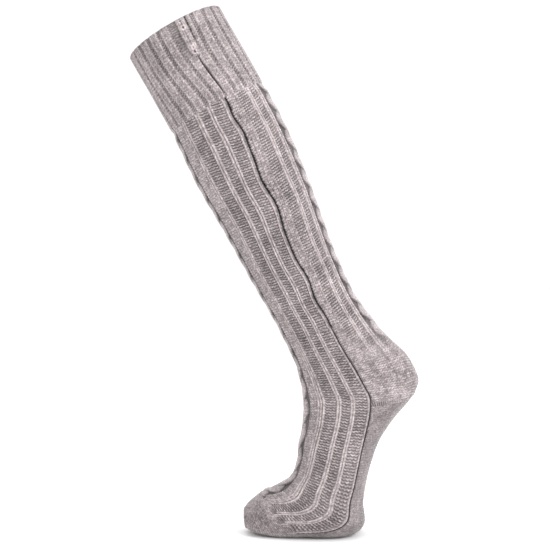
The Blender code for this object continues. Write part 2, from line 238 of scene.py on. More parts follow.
class SockForm:
    """The sock's smooth outer surface, which every piece follows."""

    turns = np.linspace(0.0, 0.5, 361)

    def __init__(self, sizes: Sizes) -> None:
        """Resolves every section to the front and back points of its ring.

        Args:
            sizes: The sock's sizes.
        """
        self.sizes = sizes
        axis = next(m["axis"] for m in frame["record"]["mounts"] if m["name"] == "leg_opening")
        self.down = np.array([-axis[0], -axis[2]])
        self.back = np.array([axis[2], -axis[0]])
        self.ankle = self.down * (sizes.cuff_height + sizes.shank_length)
        rows = [self._leg_row(RIM, 0.0, sizes.cuff_height)]
        rows += [self._leg_row(section, sizes.cuff_height, sizes.shank_length) for section in LEG_SECTIONS]
        rows += [self._foot_row(section) for section in FOOT_SECTIONS]
        ball = rows[-1]
        rows += [self._toe_row(section, ball) for section in TOE_SECTIONS]
        self.table = np.array(rows)

    def _leg_row(self, section: Sequence[float], start: float, length: float) -> list[float]:
        """Ring of a cuff or leg section, with its downs measured from start."""
        depth = self.sizes.leg_depth
        front = self.down * (start + section[0] * length) - self.back * (section[1] * depth)
        back = self.down * (start + section[2] * length) + self.back * (section[3] * depth)
        return [*front, *back, section[4] * self.sizes.leg_width, *section[5:]]

    def _foot_row(self, section: Sequence[float]) -> list[float]:
        """Ring of a section between the ankle and the ball."""
        depth = self.sizes.foot_depth
        arch = self.sizes.arch_length
        front = self.ankle + np.array([-section[0] * depth, -section[1] * arch])
        back = self.ankle + np.array([section[2] * depth, -section[3] * arch])
        return [*front, *back, section[4] * self.sizes.foot_width, *section[5:]]

    def _toe_row(self, section: Sequence[float], ball: Sequence[float]) -> list[float]:
        """Ring of a section between the ball and the tip."""
        tip = ball[2] - self.sizes.toe_length
        ground = self.ankle[1] - self.sizes.arch_length - self.sizes.ball_height
        front = [ball[0] + (tip - ball[0]) * section[0], ground + section[1] * self.sizes.ball_height]
        back = [ball[2] + (tip - ball[2]) * section[2], ground + section[3] * self.sizes.ball_height]
        return [*front, *back, section[4] * self.sizes.foot_width, *section[5:]]

    def ring(self, v: np.ndarray) -> np.ndarray:
        """Ring values at places along the sock, smooth between the sections.

        Args:
            v: Places along the sock.

        Returns:
            A row of ring values for each place.
        """
        last = len(self.table) - 1
        index = np.clip(np.floor(v).astype(int), 0, last - 1)
        t = (v - index)[..., None]
        before, start, end, after = (self.table[np.clip(index + k, 0, last)] for k in (-1, 0, 1, 2))
        slope_in = 0.5 * (end - before)
        slope_out = 0.5 * (after - start)
        t2 = t * t
        t3 = t2 * t
        return (
            start * (2 * t3 - 3 * t2 + 1)
            + slope_in * (t3 - 2 * t2 + t)
            + end * (3 * t2 - 2 * t3)
            + slope_out * (t3 - t2)
        )

    def depth_share(self, ring: np.ndarray, turn: np.ndarray) -> np.ndarray:
        """Share of each section's depth from the front, at a turn."""
        share = 0.5 - 0.5 * signed_power(np.cos(TAU * turn), ring[..., 6])
        return share + 4.0 * (ring[..., 5] - 0.5) * share * (1.0 - share)

    def point(self, turn: np.ndarray, v: np.ndarray) -> np.ndarray:
        """Points of the smooth surface.

        Args:
            turn: Turns round the sock.
            v: Places along the sock.

        Returns:
            The points, with x, y and z last.
        """
        ring = self.ring(v)
        share = self.depth_share(ring, turn)
        x = ring[..., 0] + (ring[..., 2] - ring[..., 0]) * share
        z = ring[..., 1] + (ring[..., 3] - ring[..., 1]) * share
        y = -0.5 * ring[..., 4] * signed_power(np.sin(TAU * turn), ring[..., 6])
        return np.stack([x, y, z], axis=-1)

    def outward(self, turn: np.ndarray, v: np.ndarray) -> np.ndarray:
        """Unit normals of the smooth surface."""
        along = self.point(turn, v + 0.02) - self.point(turn, v - 0.02)
        round_it = self.point(turn + 0.004, v) - self.point(turn - 0.004, v)
        normal = np.cross(along, round_it)
        return normal / np.linalg.norm(normal, axis=-1, keepdims=True)

    def fabric(self, turn: np.ndarray, v: np.ndarray, height: np.ndarray) -> np.ndarray:
        """Points at a height over the smooth surface, never below the ground or the fabric lying on it."""
        points = self.point(turn, v) + self.outward(turn, v) * np.asarray(height)[..., None]
        lowest = self.sizes.ground + np.maximum(0.0, -np.asarray(height) - 2.0 * MM)
        points[..., 2] = np.maximum(points[..., 2], lowest)
        return points

    def slit_turn(self, down: np.ndarray) -> np.ndarray:
        """Turn of the strip and the slit, which lean back to the seam, at distances below the rim."""
        sizes = self.sizes
        upper = ease(down, 0.0, 0.45 * sizes.cuff_height)
        lower = ease(down, 0.45 * sizes.cuff_height, sizes.cuff_height)
        lean = -2.8 * MM - 1.7 * MM * upper + 4.5 * MM * lower
        return sizes.slit_turn + lean / sizes.girth

    def seam_turn(self, v: np.ndarray) -> np.ndarray:
        """Turn of the side seam, where the front's stitches end."""
        rings = self.ring(v)
        found = [
            np.interp(ring[7], self.depth_share(ring[None, :], self.turns), self.turns) for ring in rings
        ]
        return np.array(found)

    def turns_between(
        self, v: np.ndarray, start: np.ndarray, end: np.ndarray, shares: np.ndarray
    ) -> np.ndarray:
        """Turns that lie at even shares of the surface's length between two turns, on each row.

        Args:
            v: Places along the sock, one for each row.
            start: Turn where each row starts.
            end: Turn where each row ends.
            shares: Shares of the length between them, one for each column.

        Returns:
            Array of rows by columns.
        """
        points = self.point(self.turns[None, :], v[:, None])
        steps = np.linalg.norm(np.diff(points, axis=1), axis=2)
        lengths = np.concatenate([np.zeros((len(v), 1)), np.cumsum(steps, axis=1)], axis=1)
        found = np.empty((len(v), len(shares)))
        for row in range(len(v)):
            low, high = np.interp([start[row], end[row]], self.turns, lengths[row])
            found[row] = np.interp(low + (high - low) * shares, lengths[row], self.turns)
        return found

    def rows_between(
        self, start: float, end: float, turn: float, spacing: float
    ) -> tuple[np.ndarray, np.ndarray]:
        """Rows spaced evenly along the line at a turn.

        Args:
            start: Place of the first row.
            end: Place of the last row.
            turn: Turn of the line they are measured on.
            spacing: Wanted distance between rows.

        Returns:
            Places of the rows, a multiple of COARSE apart in number, and their lengths from the start.
        """
        places = np.linspace(start, end, 1200)
        points = self.point(np.full_like(places, turn), places)
        steps = np.linalg.norm(np.diff(points, axis=0), axis=1)
        lengths = np.concatenate([[0.0], np.cumsum(steps)])
        count = max(2, round(lengths[-1] / spacing / COARSE)) * COARSE
        even = np.linspace(0.0, lengths[-1], count + 1)
        return np.interp(even, lengths, places), even


class Relief(NamedTuple):
    """Knitted surface: heights in millimetres over the smooth form, and tones from 0, deep in painted shade,
    to 1, bright with painted highlight, with the yarn's own uneven colour mixed in.
    """

    height: np.ndarray
    tone: np.ndarray

    def toward(self, other: "Relief", share: np.ndarray) -> "Relief":
        """Mixes in a share of another surface."""
        height = self.height + (other.height - self.height) * share
        return Relief(height, self.tone + (other.tone - self.tone) * share)

    def lifted(self, height: np.ndarray, tone: np.ndarray) -> "Relief":
        """Adds to the heights and the tones."""
        return Relief(self.height + height, self.tone + tone)


class Knitting:
    """Stitches. Across counts wales and y counts courses, both from any start."""

    shades = np.random.default_rng(7).uniform(-1.0, 1.0, (97, 193))

    @classmethod
    def yarn(cls, across: np.ndarray, y: np.ndarray, spread: float) -> np.ndarray:
        """Shade of the yarn in each stitch, around 1."""
        wale = np.floor(across).astype(int) % cls.shades.shape[0]
        course = np.rint(y).astype(int) % cls.shades.shape[1]
        return 1.0 + spread * cls.shades[wale, course]

    @classmethod
    def plain(cls, across: np.ndarray, y: np.ndarray) -> Relief:
        """Plain knit: a V at each course of each wale."""
        from_middle = np.abs(2.0 * (across - np.floor(across)) - 1.0)
        slant = y + 0.55 * from_middle
        leg = dome(2.0 * from_middle - 1.0) * (0.25 + 0.75 * bump(slant))
        # Tones: painted shade between the legs of each V and painted highlight on their crests, times the
        # yarn's own uneven colour.
        return Relief(-0.40 + 0.90 * leg, (0.14 + 0.84 * leg) * cls.yarn(across, slant, 0.34))

    @classmethod
    def rib(cls, across: np.ndarray, y: np.ndarray) -> Relief:
        """Twisted ribs: round cords with a slanted stitch at each course."""
        place = 2.0 * (across - np.floor(across)) - 1.0
        cord = dome(place) ** 1.5 * (0.74 + 0.26 * bump(y + 0.30 * place))
        # Tones: painted shade between the cords and painted highlight on their crests, times the yarn's own
        # uneven colour.
        return Relief(-0.80 + 1.60 * cord, 0.04 + 1.02 * cord * cls.yarn(across, y, 0.18))

    @classmethod
    def ladder(cls, across: np.ndarray, y: np.ndarray, wales: float) -> Relief:
        """Purl rungs: slanted dashes with painted shade in the holes between."""
        slant = y - 0.55 * across / wales + 0.13 * np.cos(TAU * across)
        rung = bump(slant) ** 1.3 * (0.62 + 0.38 * np.abs(np.sin(math.pi * across)) ** 0.7)
        return Relief(-1.10 + 0.95 * rung, 0.05 + 0.78 * rung * cls.yarn(across, slant, 0.36))

    @classmethod
    def valley(cls, across: np.ndarray, y: np.ndarray) -> Relief:
        """Deep column of dots, darkened further as painted shade."""
        dots = cls.ladder(across, y, 1.0)
        return Relief(dots.height * 0.6 - 1.0, dots.tone * 0.45)

    @classmethod
    def cable(cls, x: np.ndarray, y: np.ndarray, crossing: np.ndarray) -> Relief:
        """Two strands that twist round each other.

        Args:
            x: Place across the cable, from -1 to 1.
            y: Courses along the cable.
            crossing: Crossings along the cable.

        Returns:
            Height of the two strands, and their tones with painted shade and highlights.
        """
        height = np.full(x.shape, -1.5)
        # Painted shade: black between the strands.
        tone = np.full(x.shape, 0.0)
        for strand in (0.0, 1.0):
            angle = math.pi * (crossing + strand)
            middle = 0.42 * np.cos(angle)
            place = (x - middle) / 0.58
            stitches = cls.plain(1.0 + place, y)
            top = -0.65 + 0.60 * np.sin(angle) + 0.90 * dome(place) + 0.35 * stitches.height
            over = (np.abs(place) < 1.0) & (top > height)
            # Painted highlight on the strand that passes over, painted shade at each strand's edges.
            lit = (0.12 + 0.88 * dome(place)) * (0.85 + 0.20 * np.sin(angle)) * (0.55 + 0.75 * stitches.tone)
            tone = np.where(over, lit, tone)
            height = np.where(over, top, height)
        return Relief(height, tone)

    @classmethod
    def chart(
        cls, chart: Sequence[Column], side: np.ndarray, course: np.ndarray, crossing: np.ndarray
    ) -> Relief:
        """Surface of a panel that follows a chart on both sides of its centre line.

        Args:
            chart: Columns from the centre line to the side seam.
            side: Place across at each corner, -1 and 1 at the side seams and 0 on the centre line.
            course: Course number at each corner.
            crossing: Cable crossing number at each corner.

        Returns:
            The surface, with the corners' shape.
        """
        side, course, crossing = np.broadcast_arrays(side, course, crossing)
        share = np.abs(side)
        height = np.zeros(side.shape)
        tone = np.zeros(side.shape)
        start = 0.0
        for column in chart:
            inside = (share >= start) & (share <= column.end)
            across = (share[inside] - start) / (column.end - start) * column.wales
            y = course[inside]
            if column.stitch is Stitch.CABLE:
                made = cls.cable(side[inside] / column.end, y, crossing[inside])
            elif column.stitch is Stitch.VALLEY:
                made = cls.valley(across, y)
            elif column.stitch is Stitch.PLAIN:
                made = cls.plain(across, y)
            elif column.stitch is Stitch.RIB:
                made = cls.rib(across, y)
            else:
                made = cls.ladder(across, y, column.wales)
            height[inside] = made.height
            tone[inside] = made.tone
            start = column.end
        return Relief(height, tone)


class Value:
    """A shader socket's value, on which arithmetic adds Math nodes."""

    def __init__(self, tree: bpy.types.NodeTree, socket: bpy.types.NodeSocket) -> None:
        """Wraps an output socket of a node tree."""
        self.tree = tree
        self.socket = socket

    def _math(self, operation: str, first: Any, second: Any) -> "Value":
        """Math node over two values, either of which may be a number.

        Args:
            operation: The node's operation.
            first: The first value.
            second: The second value.

        Returns:
            The node's result.
        """
        node = self.tree.nodes.new("ShaderNodeMath")
        node.operation = operation
        for socket, value in zip(node.inputs, (first, second)):
            if isinstance(value, Value):
                self.tree.links.new(value.socket, socket)
            else:
                socket.default_value = value
        return Value(self.tree, node.outputs[0])

    def __add__(self, other: Any) -> "Value":
        """Sum."""
        return self._math("ADD", self, other)

    __radd__ = __add__

    def __sub__(self, other: Any) -> "Value":
        """Difference."""
        return self._math("SUBTRACT", self, other)

    def __rsub__(self, other: Any) -> "Value":
        """Difference from a number."""
        return self._math("SUBTRACT", other, self)

    def __mul__(self, other: Any) -> "Value":
        """Product."""
        return self._math("MULTIPLY", self, other)

    __rmul__ = __mul__


class Shading:
    """Builds a material's nodes."""

    def __init__(self, name: str) -> None:
        """Starts a material with an empty node tree."""
        self.material = bpy.data.materials.new(name)
        self.material.use_nodes = True
        self.tree = self.material.node_tree
        self.tree.nodes.clear()

    def node(
        self, kind: str, settings: dict[str, Any] | None = None, inputs: dict[str, Any] | None = None
    ) -> bpy.types.Node:
        """Adds any node.

        Args:
            kind: The node's type.
            settings: Properties to set first. A ramp's stops come as "stops".
            inputs: Values or links of its sockets, by name or number.

        Returns:
            The node.
        """
        made = self.tree.nodes.new(kind)
        for key, value in (settings or {}).items():
            if key == "stops":
                ramp = made.color_ramp
                while len(ramp.elements) < len(value):
                    ramp.elements.new(0.5)
                for element, (position, colour) in zip(ramp.elements, value):
                    element.position = position
                    element.color = (*colour, 1.0)
            else:
                setattr(made, key, value)
        for key, value in (inputs or {}).items():
            socket = made.inputs[key]
            if isinstance(value, Value):
                self.tree.links.new(value.socket, socket)
            elif isinstance(value, bpy.types.NodeSocket):
                self.tree.links.new(value, socket)
            else:
                socket.default_value = value
        return made

    def value(self, node: bpy.types.Node, output: str | int = 0) -> Value:
        """Wraps one of a node's outputs."""
        return Value(self.tree, node.outputs[output])


@dataclass(frozen=True)
class Wool:
    """Heathered wool: grey fibres of several tones spun together, a little fuzzy."""

    name: str
    dark: tuple[float, float, float] = (0.120, 0.096, 0.106)
    middle: tuple[float, float, float] = (0.395, 0.338, 0.345)
    light: tuple[float, float, float] = (0.800, 0.725, 0.725)
    # Colour factor at the deepest painted shade, in the stitches' hollows.
    painted_shade_floor: float = 0.14
    roughness: float = 0.92

    def material(self) -> bpy.types.Material:
        """Makes the wool's material, which reads the piece's own attribute of stitch tones with painted shade
        and highlights, and Object coordinates.
        """
        shading = Shading(self.name)
        place = shading.node("ShaderNodeTexCoord").outputs["Object"]
        tone = shading.value(shading.node("ShaderNodeAttribute", {"attribute_name": "tone"}), "Fac")
        fleck = self._noise(shading, place, 1500.0, 3.0, 0.70)
        strand = self._noise(shading, place, 520.0, 4.0, 0.65)
        patch = self._noise(shading, place, 60.0, 3.0, 0.55)
        mixed = (fleck * 0.50 + strand * 0.50 - 0.5) * 2.6 + (patch - 0.5) * 0.35 + 0.48
        heather = shading.node(
            "ShaderNodeValToRGB",
            {"stops": ((0.05, self.dark), (0.46, self.middle), (0.95, self.light))},
            {"Fac": mixed},
        )
        # Painted shade and highlights: the heather colour is multiplied by the stitch tones, darkest in the
        # hollows.
        shade = tone * (1.0 - self.painted_shade_floor) + self.painted_shade_floor
        painted_shade_heather = shading.node(
            "ShaderNodeMix",
            {"data_type": "RGBA", "blend_type": "MULTIPLY"},
            {"Factor": 1.0, 6: heather.outputs["Color"], 7: self._grey(shading, shade)},
        )
        fibre = self._noise(shading, place, 2600.0, 5.0, 0.7)
        relief = shading.node(
            "ShaderNodeBump", inputs={"Strength": 0.60, "Distance": 0.35 * MM, "Height": fibre + strand * 0.8}
        )
        principled = shading.node(
            "ShaderNodeBsdfPrincipled",
            inputs={
                "Base Color": painted_shade_heather.outputs[2],
                "Roughness": fleck * 0.10 + (self.roughness - 0.05),
                "Specular IOR Level": 0.15,
                "Sheen Weight": 0.25,
                "Sheen Roughness": 0.50,
                "Normal": relief.outputs["Normal"],
            },
        )
        output = shading.node("ShaderNodeOutputMaterial")
        shading.tree.links.new(principled.outputs[0], output.inputs["Surface"])
        return shading.material

    @staticmethod
    def _noise(
        shading: Shading, place: bpy.types.NodeSocket, scale: float, detail: float, roughness: float
    ) -> Value:
        """Noise over the piece, as a value.

        Args:
            shading: The material being made.
            place: Socket of the coordinates.
            scale: How fine the noise is.
            detail: Its octaves.
            roughness: How strong the finer octaves are.

        Returns:
            The noise, around 0.5.
        """
        noise = shading.node(
            "ShaderNodeTexNoise",
            inputs={"Vector": place, "Scale": scale, "Detail": detail, "Roughness": roughness},
        )
        return shading.value(noise, 0)

    @staticmethod
    def _grey(shading: Shading, shade: Value) -> bpy.types.NodeSocket:
        """Grey colour of a value."""
        return shading.node("ShaderNodeCombineColor", inputs={0: shade, 1: shade, 2: shade}).outputs[0]


class Sheet(NamedTuple):
    """A grid of surface points, rows by columns, and the colour level of each, with the stitches' painted
    shade and highlights.
    """

    points: np.ndarray
    tone: np.ndarray


class Fabric:
    """Makes a knitted wall from a fine outer grid and a coarser inner one."""

    def __init__(self, name: str) -> None:
        """Starts an empty mesh."""
        self.name = name
        self.bm = bmesh.new()
        # Per-corner stitch tones with painted shade and highlights, read by the wool's material.
        self.tone = self.bm.verts.layers.float.new("tone")

    def grid(self, sheet: Sheet, closed: bool) -> list[list[bmesh.types.BMVert]]:
        """Adds a grid of faces over a sheet.

        Args:
            sheet: Points and tones.
            closed: Whether its last column is its first.

        Returns:
            Its corners, rows of columns.
        """
        rows, columns = sheet.points.shape[:2]
        made = bmesh.ops.create_grid(self.bm, x_segments=columns - 1, y_segments=rows - 1, size=1.0)["verts"]
        corners = [[None] * columns for _ in range(rows)]
        for vert in made:
            column = round((vert.co.x + 1.0) * 0.5 * (columns - 1))
            row = round((vert.co.y + 1.0) * 0.5 * (rows - 1))
            corners[row][column] = vert
        points = sheet.points.tolist()
        tones = np.broadcast_to(sheet.tone, sheet.points.shape[:2]).tolist()
        for row in range(rows):
            for vert, place, tone in zip(corners[row], points[row], tones[row]):
                vert.co = place
                vert[self.tone] = tone
        if closed:
            bmesh.ops.weld_verts(self.bm, targetmap={line[-1]: line[0] for line in corners})
            for line in corners:
                line[-1] = line[0]
        return corners

    def join(self, fine: Sequence[bmesh.types.BMVert], coarse: Sequence[bmesh.types.BMVert]) -> None:
        """Closes the edge between a line of fine corners and the coarse line behind it."""
        step = (len(fine) - 1) // (len(coarse) - 1)
        for k in range(len(coarse) - 1):
            run = list(fine[k * step : (k + 1) * step + 1])
            self.bm.faces.new(run + [coarse[k + 1], coarse[k]])

    def panel(self, outer: Sheet, inner: Sheet) -> None:
        """Closed wall of a panel with four edges.

        Args:
            outer: Sheet of the knitted face.
            inner: Sheet of the lining.
        """
        front = self.grid(outer, False)
        lining = self.grid(inner, False)
        self.join(front[0], lining[0])
        self.join([line[-1] for line in front], [line[-1] for line in lining])
        self.join(front[-1][::-1], lining[-1][::-1])
        self.join([line[0] for line in front][::-1], [line[0] for line in lining][::-1])

    def finish(self, finish: bpy.types.Material, slot: str, nodes: Iterable[str]) -> bpy.types.Object:
        """Makes the object, dresses it, hangs it on its body and hides the CAD nodes it stands for.

        Args:
            finish: Its material.
            slot: Not used.
            nodes: CAD nodes that it stands for.

        Returns:
            The object.
        """
        bmesh.ops.recalc_face_normals(self.bm, faces=self.bm.faces)
        mesh = bpy.data.meshes.new(self.name)
        self.bm.to_mesh(mesh)
        self.bm.free()
        mesh.shade_smooth()
        mesh.materials.append(finish)
        made = bpy.data.objects.new(self.name, mesh)
        bpy.context.scene.collection.objects.link(made)
        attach(made, BODY)
        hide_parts(*nodes)
        mesh.calc_loop_triangles()
        LOG.info("%s: %d triangles", self.name, len(mesh.loop_triangles))
        return made


def seam_groove(side: np.ndarray, width: float) -> np.ndarray:
    """Groove along both side seams, 1 at the seam and 0 away from it."""
    return np.exp(-(((1.0 - np.abs(side)) / width) ** 2))


@dataclass
class ChartPanel:
    """A panel knitted to a chart: the front or back of the leg, or the instep."""

    form: SockForm
    name: str
    node: str
    chart: Sequence[Column]
    start: float
    end: float
    at_back: bool = False
    columns: int = 252
    row_spacing: float = 0.64 * MM
    wave: float = 0.0
    fade_in: float = 0.0
    course_start: float = 0.0
    groove_depth: float = 1.5
    seed: int = 3

    def turns(self, v: np.ndarray, side: np.ndarray) -> np.ndarray:
        """Turn of each mesh corner, from the far side seam over the centre line to the near one.

        Args:
            v: Places along the sock.
            side: Places across the panel, from -1 to 1.

        Returns:
            The turns, a row for each place.
        """
        seam = self.form.seam_turn(v)
        middle = np.full_like(seam, 0.5 if self.at_back else 0.0)
        near = self.form.turns_between(v, middle, seam, np.clip(side, 0.0, 1.0))
        far = self.form.turns_between(v, middle, seam, np.clip(-side, 0.0, 1.0))
        near = near + self.wave_turns(v)[:, None] * np.clip(side, 0.0, 1.0)[None, :] ** 3
        return np.where(side[None, :] > 0.0, near, 1.0 - far)

    def wave_turns(self, v: np.ndarray) -> np.ndarray:
        """How far the near seam wanders, in turns, fading out towards the panel's ends.

        Args:
            v: Places along the sock.

        Returns:
            The shift at each place.
        """
        if not self.wave:
            return np.zeros_like(v)
        share = (v - self.start) / (self.end - self.start)
        fade = ease(share, 0.0, 0.10) * (1.0 - ease(share, 0.80, 1.0))
        path = np.sin(TAU * (4.0 * share + 0.60)) + 0.30 * np.sin(TAU * (7.1 * share + 0.45))
        return self.wave * fade * path / self.form.sizes.girth

    def build(self, finish: bpy.types.Material) -> bpy.types.Object:
        """Builds the panel and dresses it.

        Args:
            finish: The wool's material.

        Returns:
            The piece.
        """
        sizes = self.form.sizes
        line = 0.36 if self.at_back else 0.20
        v, along = self.form.rows_between(self.start, self.end, line, self.row_spacing)
        centre_turn = 0.5 if self.at_back else 0.0
        _, centre = self.form.rows_between(self.start, self.end, centre_turn, self.row_spacing)
        side = np.linspace(-1.0, 1.0, self.columns + 1)
        crossings = round(centre[-1] / sizes.cable_pitch)
        noise = soft_noise(len(v), len(side), (24, 20), self.seed)
        wander = soft_noise(len(v), len(side), (40, 16), self.seed + 1)
        course = (along / sizes.course + self.course_start)[:, None] + 0.30 * wander
        crossing = np.linspace(0.0, crossings, len(v))[:, None]
        relief = Knitting.chart(self.chart, side[None, :], course, crossing)
        groove = seam_groove(side, 0.020)[None, :]
        # The side seam's groove is sunk and darkened with painted shade; the noise adds uneven height and
        # yarn colour.
        relief = relief.lifted(0.22 * noise - self.groove_depth * groove, 0.10 * noise - 0.9 * groove)
        if self.fade_in:
            flat = Relief(np.full(relief.height.shape, -0.7), relief.tone)
            relief = relief.toward(flat, 1.0 - ease(along, 0.0, self.fade_in)[:, None])
        turn = self.turns(v, side)
        rows = v[:, None] * np.ones_like(side)[None, :]
        outer = self.form.fabric(turn, rows, relief.height * MM)
        inner = self.form.fabric(turn[::COARSE, ::COARSE], rows[::COARSE, ::COARSE], np.array(-sizes.wall))
        fabric = Fabric(self.name)
        fabric.panel(Sheet(outer, relief.tone), Sheet(inner, np.array(LINING_TONE)))
        return fabric.finish(finish, "cable_knit", [self.node])


@dataclass
class PlainPanel:
    """A plain knitted panel behind the seams: the heel or the sole."""

    form: SockForm
    name: str
    start: float
    end: float
    columns: int
    row_spacing: float
    wales: int
    depth: float
    ribs_fade: float = 0.0
    dashes: float = 0.0
    seed: int = 11

    def build(self, finish: bpy.types.Material) -> bpy.types.Object:
        """Builds the panel and dresses it.

        Args:
            finish: The wool's material.

        Returns:
            The piece.
        """
        sizes = self.form.sizes
        v, along = self.form.rows_between(self.start, self.end, 0.42, self.row_spacing)
        side = np.linspace(-1.0, 1.0, self.columns + 1)
        seam = self.form.seam_turn(v)
        middle = np.full_like(seam, 0.5)
        half = self.form.turns_between(v, middle, seam, np.abs(side))
        turn = np.where(side[None, :] > 0.0, half, 1.0 - half)
        noise = soft_noise(len(v), len(side), (20, 18), self.seed)
        wander = soft_noise(len(v), len(side), (30, 14), self.seed + 1)
        course = (along / sizes.course)[:, None] + 0.35 * wander
        across = (0.5 + 0.5 * side[None, :]) * self.wales
        relief = Knitting.plain(across, course)
        level = float(relief.tone.mean())
        # The painted shade and highlights of the stitches shrink with their depth.
        relief = Relief(self.depth * relief.height, level + self.depth * (relief.tone - level))
        if self.ribs_fade:
            crossing = course * sizes.course / sizes.cable_pitch
            ribs = Knitting.chart(BACK_CHART, side[None, :], course, crossing)
            fade = 1.0 - ease((v - self.start) / (self.end - self.start), 0.0, self.ribs_fade)
            relief = relief.toward(ribs, fade[:, None])
        if self.dashes:
            # Painted shade between the dashes of the border, painted highlight on them.
            dash = bump(1.25 * across + 0.35 * course) ** 1.2
            border = Relief(-0.9 + 1.1 * dash, 0.04 + 0.90 * dash)
            window = ease(along, along[-1] - 1.4 * self.dashes, along[-1] - self.dashes)
            relief = relief.toward(border, window[:, None])
        groove = seam_groove(side, 0.016)[None, :]
        # The side seam's groove is sunk and darkened with painted shade.
        relief = relief.lifted(0.20 * noise - 0.8 * groove, 0.12 * noise - 0.35 * groove)
        rows = v[:, None] * np.ones_like(side)[None, :]
        outer = self.form.fabric(turn, rows, relief.height * MM)
        inner = self.form.fabric(turn[::COARSE, ::COARSE], rows[::COARSE, ::COARSE], np.array(-sizes.wall))
        fabric = Fabric(f"{self.name}_knit")
        fabric.panel(Sheet(outer, relief.tone), Sheet(inner, np.array(LINING_TONE)))
        return fabric.finish(finish, "plain_knit", [self.name])


